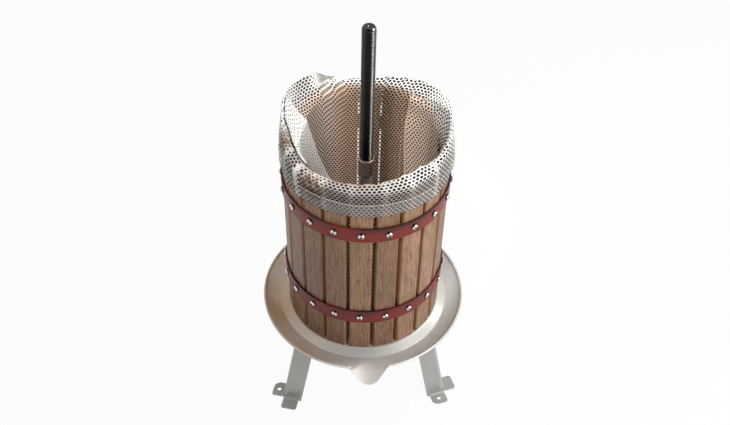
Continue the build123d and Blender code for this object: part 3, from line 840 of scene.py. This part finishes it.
lines = [bag_line(angle) for angle in np.linspace(-180, 180, 361)]
marks = [ends for _, ends in lines]
cut = POINTS_PER_ROW * FOOT_ROWS
low = [line[: cut + 1] for line, _ in lines]
high = [line[cut:] for line, _ in lines]
foot = net(
    "bag_foot_net", COLUMNS, FOOT_ROWS, sweep=360, length=112, hole=0.62, surface=low, weave=even(0.44)
)
bag = net(
    "bag_net", COLUMNS, ROWS - FOOT_ROWS, sweep=360, length=272, hole=0.7, surface=high, weave=bag_weave
)
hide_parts("bag_tube")

# %% [markdown]
# The cuff ends in a hem, the cloth turned up once on the outside and sewn down. It could be a darker
# stripe on the cuff, but a second net just outside the first gives the closer dots of doubled cloth.

# %% Hem
HEM_TOP = 463.5


def hem_spot(across, up):
    """A point of the hem at a share of the way round and up."""
    angle = across * 360 - 180
    height = CUFF_FOOT - 0.6 + (HEM_TOP - CUFF_FOOT) * up
    radius = CUFF + fold_out(angle, height) + 0.9 * min(1, up * 8) ** 0.5
    return on_ring(angle, radius, height)


hem_surface = [[hem_spot(i / 360, k / 20) for k in range(21)] for i in range(361)]
hem = net(
    "bag_hem_net", COLUMNS, rows=5, sweep=360, length=22.5, hole=0.28, surface=hem_surface, weave=even(0.15)
)
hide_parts("bag_hem")

# %% [markdown]
# The hem is sewn down along its upper edge with plain white thread, a little shinier than the cloth.
# A row of dots in the cloth's finish would not stand out from it, so each stitch is a small stretched
# ball, set at even steps along the edge and turned to follow it.

# %% Hem stitches
SEAM_HEIGHT, SEAM_OUT = HEM_TOP - 2, 1.3
BALL_SIDES, BALL_RINGS = 6, 5
thread_white, tree, shader = material("white sewing thread", Roughness=0.6, IOR=1.5)
place = add(tree, "ShaderNodeTexCoord").outputs["Object"]
# The twist of the thread repeats every third of a millimetre
twist = add(tree, "ShaderNodeTexWave", {"Vector": place, "Scale": 900, "Distortion": 2}).outputs["Fac"]
whites = {"Factor": twist, "A": "#bdb9b0", "B": "#e2dfd8"}
feed(tree, shader, {"Base Color": add(tree, "ShaderNodeMix", whites, data_type=COLOUR)})
stitch_tree, given = node_tree(
    "stitches along an edge", Spacing="Float", Stitch_length="Float", Thickness="Float", Thread="Material"
)
edge = add(stitch_tree, "GeometryNodeMeshToCurve", {"Mesh": given["Geometry"]})
spaced = {"Curve": edge, "Length": given["Spacing"]}
steps = add(stitch_tree, "GeometryNodeResampleCurve", spaced, mode="LENGTH")
round_ball = {"Segments": BALL_SIDES, "Rings": BALL_RINGS, "Radius": 0.5}
ball = add(stitch_tree, "GeometryNodeMeshUVSphere", round_ball)
along = add(stitch_tree, "GeometryNodeInputTangent")
turn = add(stitch_tree, "FunctionNodeAlignRotationToVector", {"Vector": along}, axis="Z")
size = {"X": given["Thickness"], "Y": given["Thickness"], "Z": given["Stitch length"]}
stretch = add(stitch_tree, "ShaderNodeCombineXYZ", size)
laid = {"Points": steps, "Instance": ball, "Rotation": turn, "Scale": stretch}
placed = add(stitch_tree, "GeometryNodeInstanceOnPoints", laid)
real = add(stitch_tree, "GeometryNodeRealizeInstances", {"Geometry": placed})
smooth = add(stitch_tree, "GeometryNodeSetShadeSmooth", {"Geometry": real})
sewn = add(stitch_tree, "GeometryNodeSetMaterial", {"Geometry": smooth, "Material": given["Thread"]})
add(stitch_tree, "NodeGroupOutput", {"Geometry": sewn})
seam = [on_ring(a, CUFF + fold_out(a, SEAM_HEIGHT) + SEAM_OUT, SEAM_HEIGHT) for a in range(-180, 180)]
seam_mesh = bpy.data.meshes.new("hem_stitches")
seam_mesh.from_pydata(seam, [(k, (k + 1) % 360) for k in range(360)], [])
stitches = new_piece("hem_stitches", seam_mesh)
grown(
    stitches,
    stitch_tree,
    {"Spacing": 4.2 * MM, "Stitch length": 3.2 * MM, "Thickness": 0.9 * MM, "Thread": thread_white},
)
print("stitches", len(stitches.data.polygons) // (BALL_SIDES * BALL_RINGS))

# %% [markdown]
# The bottom is a round panel with an eyelet for the screw's foot. Rings of holes would crowd toward
# the middle, so its lattice is a flat honeycomb that is fitted between the two circles by a Delaunay
# triangulation.

# %% Bottom panel
PANEL, EYELET, STEP = 96.0, 23.5, 5.6
# Rows of even triangles lie closer together than the points of a row
ROW_SHARE = 0.866
MARGIN = 0.6 * STEP
spots, ties = [], []
for radius in (PANEL, EYELET):
    count = round(2 * pi * radius / STEP)
    first = len(spots)
    turns = [2 * pi * k / count for k in range(count)]
    spots += [Vector((radius * cos(t), radius * sin(t))) for t in turns]
    ties += [(first + k, first + (k + 1) % count) for k in range(count)]
reach = int(PANEL / STEP) + 2
for row in range(-reach, reach + 1):
    for column in range(-reach, reach + 1):
        spot = Vector(((column + 0.5 * (row % 2)) * STEP, row * STEP * ROW_SHARE))
        if EYELET + MARGIN < spot.length < PANEL - MARGIN:
            spots.append(spot)
points, _, faces, _, _, _ = delaunay_2d_cdt(spots, ties, [], 0, 1e-6)
faces = [f for f in faces if sum((points[i] for i in f), Vector((0, 0))).length / 3 > EYELET]
bm = bmesh.new()
layers = [bm.verts.layers.float.new(name) for name in ("opening", "cover")]
corners = []
for point in points:
    sag = 0.5 * noise.noise((point.x / 22, point.y / 22, 0))
    corners.append(bm.verts.new((point.x * MM, point.y * MM, (FLOOR + 0.4 + sag) * MM)))
    for layer, value in zip(layers, even(0.4)(0, 0)):
        corners[-1][layer] = value
for face in faces:
    bm.faces.new([corners[i] for i in face])
panel_mesh = bpy.data.meshes.new("bag_bottom_net")
bm.to_mesh(panel_mesh)
bm.free()
panel = new_piece("bag_bottom_net", panel_mesh)
grown(panel, net_tree, {"Hole width": 0.5, "Depth": -0.5 * MM, "Cloth": cloth})
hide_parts("bag_bottom")
print("bottom panel", len(panel.data.polygons), "faces")

# %% [markdown]
# The bag is wider than the basket, so its slack lies in two deep pleats. They could be folds in the
# bag's own surface, but would pull its rows apart, so each is a strip just inside the wall. The left
# one falls inward with a slanting edge, the right one hangs straight. Angles are in degrees, the
# rest in millimetres.

# %% Pleats
PLEAT_GAP = 1.6
LEFT_FROM, LEFT_TO, LEFT_SLANT = -57, -113, 42
LEFT_FOOT, LEFT_EDGE_RADIUS = 307, 82
RIGHT_FROM, RIGHT_WIDTH, RIGHT_FOOT = 72, 68, 296


def left_pleat(across, up):
    """A point of the left pleat at a share of the way to its free edge and down from the crest."""
    edge = LEFT_TO - LEFT_SLANT * up**1.2
    angle = LEFT_FROM + (edge - LEFT_FROM) * across
    crest = mouth_at(angle)[1]
    height = crest - 0.6 - (crest - LEFT_FOOT) * up
    lean = soft_step(across, 0.2, 1) * soft_step(up, 0, 0.4)
    radius = wall_at(angle, height) - PLEAT_GAP
    return on_ring(angle, radius + (LEFT_EDGE_RADIUS - radius) * lean, height)


def right_pleat(across, up):
    """A point of the right pleat, in the same way."""
    angle = RIGHT_FROM + RIGHT_WIDTH * across
    crest = mouth_at(angle)[1]
    height = crest - 0.8 - (crest - RIGHT_FOOT) * up
    lean = 5 * soft_step(across, 0.6, 1) * soft_step(up, 0.1, 0.3)
    return on_ring(angle + 1.2 * sin(height / 30), wall_at(angle, height) - PLEAT_GAP - lean, height)


pleats = []
for name, spot, columns, hole, cover in (
    ("bag_left_pleat", left_pleat, 22, 0.42, 0.9),
    ("bag_right_pleat", right_pleat, 20, 0.6, 0.56),
):
    surface = [[spot(i / 60, k / 90) for k in range(91)] for i in range(61)]
    pleat = net(name, columns, rows=42, sweep=60, length=190, hole=hole, surface=surface, weave=even(cover))
    pleats.append(pleat)

for piece in (bag, foot, hem, stitches, panel, *pleats):
    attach(piece, "bag")

# %% [markdown]
# The floor is plain and pale. More light would turn it white but bleach the press too, so it is nearly
# white only to the camera and in reflections, and it keeps a soft shadow.

# %% Floor
FLOOR_REACH, FLOOR_DROP = 4, -0.0004
FLOOR_WHITE = 0.94


def flat_piece(name, corners, finish):
    """A flat four-cornered piece of the stage."""
    mesh = bpy.data.meshes.new(name)
    mesh.from_pydata(corners, [], [(0, 1, 2, 3)])
    mesh.materials.append(finish)
    return new_piece(name, mesh)


def seen_directly(tree):
    """1 for what the camera sees, also in mirrors and through cloth, and 0 for light on its way."""
    path = add(tree, "ShaderNodeLightPath").outputs
    either = {0: path["Is Camera Ray"], 1: path["Is Glossy Ray"]}
    seen = add(tree, "ShaderNodeMath", either, operation="MAXIMUM")
    return add(tree, "ShaderNodeMath", {0: seen, 1: path["Is Transmission Ray"]}, operation="MAXIMUM")


pale, tree, shader = material("pale floor", Roughness=0.9, Base_Color="#e8e7e4")
share = add(tree, "ShaderNodeMath", {0: seen_directly(tree), 1: FLOOR_WHITE}, operation="MULTIPLY")
white = add(tree, "ShaderNodeEmission", {"Color": "#ffffff", "Strength": 1.0})
both = add(tree, "ShaderNodeMixShader", {0: share, 1: shader, 2: white})
feed(tree, tree.nodes["Material Output"], {"Surface": both})
sides = [(-1, -1), (1, -1), (1, 1), (-1, 1)]
ground = flat_piece("floor", [(FLOOR_REACH * x, FLOOR_REACH * y, FLOOR_DROP) for x, y in sides], pale)
print("floor of", 2 * FLOOR_REACH, "m laid")

# %% [markdown]
# The light is a large soft window at the right front and a weak strip at the right back, with an even
# white room for the rest. Two helpers follow the photographed light. A beam from above goes down into
# the basket, whose inside would else be black, and leaves no gloss. A gleam that lights only the
# screw draws the bright line down its right side.

# %% Light
ROOM_LIGHT = 0.46
scene = bpy.context.scene
scene.view_settings.view_transform = "Standard"
world = bpy.data.worlds.new("studio")
scene.world = world
world.use_nodes = True
tree = world.node_tree
level = add(tree, "ShaderNodeMapRange", {"Value": seen_directly(tree), "To Min": ROOM_LIGHT, "To Max": 1.0})
feed(tree, tree.nodes["Background"], {"Color": "#ffffff", "Strength": level})


def placed_lamp(name, kind, spot, aim, power):
    """A lamp at a spot, facing the aim."""
    data = bpy.data.lights.new(name, kind)
    data.energy = power
    made = bpy.data.objects.new(name, data)
    scene.collection.objects.link(made)
    made.location = spot
    made.rotation_euler = (Vector(aim) - Vector(spot)).to_track_quat("-Z", "Y").to_euler()
    return made


def panel_lamp(name, spot, aim, width, height, power, colour):
    """A soft rectangular lamp."""
    made = placed_lamp(name, "AREA", spot, aim, power)
    made.data.shape = "RECTANGLE"
    made.data.size, made.data.size_y = width, height
    made.data.color = linear(colour)[:3]
    return made


panel_lamp("window", (1.2, -0.84, 0.95), (0, 0, 0.32), width=0.8, height=1.2, power=15, colour="#fffdf8")
panel_lamp("strip", (1.02, 0.33, 1.4), (0, 0, 0.5), width=0.22, height=1.2, power=7.5, colour="#ffffff")
gleam = panel_lamp(
    "gleam", (1.12, -0.2, 1.63), (0, 0, 0.5), width=0.42, height=0.9, power=110, colour="#ffffff"
)
steel_parts = bpy.data.collections.new("lit by the gleam")
for piece in (screw, thread):
    steel_parts.objects.link(piece)
gleam.light_linking.receiver_collection = steel_parts
beam = placed_lamp("inside", "SPOT", (-0.14, -0.45, 1.3), (0.015, 0.055, 0.44), power=125)
beam.data.spot_size = radians(17)
beam.data.spot_blend = 1.0
beam.data.shadow_soft_size = 0.1
beam.visible_glossy = False

# %% [markdown]
# Behind the camera the room is dark. A darker world would dim everything, so a large dark card stands
# for it, seen only in reflections: the polished heads get their dark middle and the paint its depth,
# and it keeps no light off.

# %% Dark card
dark, tree, shader = material("dark card", Roughness=0.9, Base_Color="#241f1c")
card_corners = [(-1.42, -1.91, 1.05), (1.18, -2.04, 1.05), (1.24, -0.76, 2.31), (-1.36, -0.63, 2.31)]
card = flat_piece("dark_card", card_corners, dark)
card.visible_camera = False
card.visible_diffuse = False
card.visible_shadow = False
print("dark card hung behind the camera")

# %% [markdown]
# The camera stands where the photograph was taken from: in front of the lip, a little to its left,
# and about 48 degrees above the floor, with a slight roll. It could be set by eye, but matching the
# screw heads of both hoops and the tray's rim to the photograph is surer.

# %% Camera
LENS, SENSOR = 46.6, 36
ROLL = radians(1.3)
lens = bpy.data.cameras.new("camera")
lens.sensor_fit = "HORIZONTAL"
lens.sensor_width = SENSOR
lens.lens = LENS
camera = bpy.data.objects.new("camera", lens)
scene.collection.objects.link(camera)
camera.location = (-0.0645, -0.9229, 1.2689)
look = Vector((0, 0, 0.336)) - camera.location
level_turn = look.to_track_quat("-Z", "Y").to_matrix()
camera.rotation_euler = (level_turn @ Matrix.Rotation(ROLL, 3, "Z")).to_euler()
scene.camera = camera
print("camera looks along", [round(x, 3) for x in look.normalized()])
